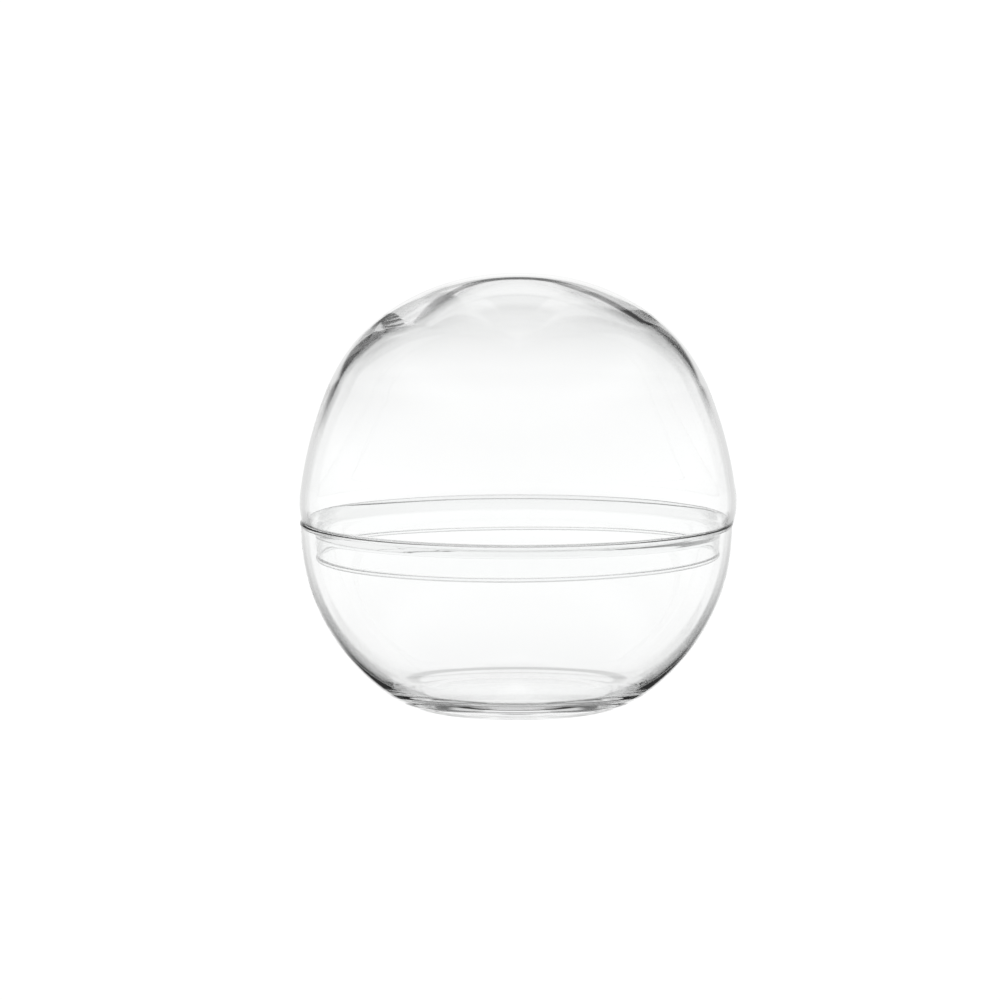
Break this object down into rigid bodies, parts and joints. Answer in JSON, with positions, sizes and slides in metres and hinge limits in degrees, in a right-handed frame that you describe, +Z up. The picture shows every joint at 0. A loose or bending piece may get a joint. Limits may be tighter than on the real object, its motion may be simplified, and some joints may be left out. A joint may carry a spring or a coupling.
{
  "type": "two-part glass cloche",
  "caption": "Clear blown-glass cloche: a round bowl with a thick base and a lift-off dome whose collar sits inside the bowl's rim.",
  "frame": {"origin": "on the table under the middle of the bowl's foot ring", "axes": "+Z up along the axis that both glasses turn about; X and Y are level and equivalent"},
  "size_m": [0.22, 0.22, 0.2187],
  "materials": {
    "bowl_glass": "clear colourless blown glass, fire-polished, faintly uneven in thickness, thick in the base",
    "dome_glass": "clear colourless blown glass, fire-polished, faintly uneven in thickness, thick at the shoulder"
  },
  "bodies": {
    "bowl_body": {"bowl": "bowl_glass"},
    "dome_body": {"dome": "dome_glass"}
  },
  "joints": [
    {"name": "dome_lift", "type": "slide", "parent": "bowl_body", "child": "dome_body", "axis": [0, 0, 1], "range_m": [0, 0.1]}
  ]
}
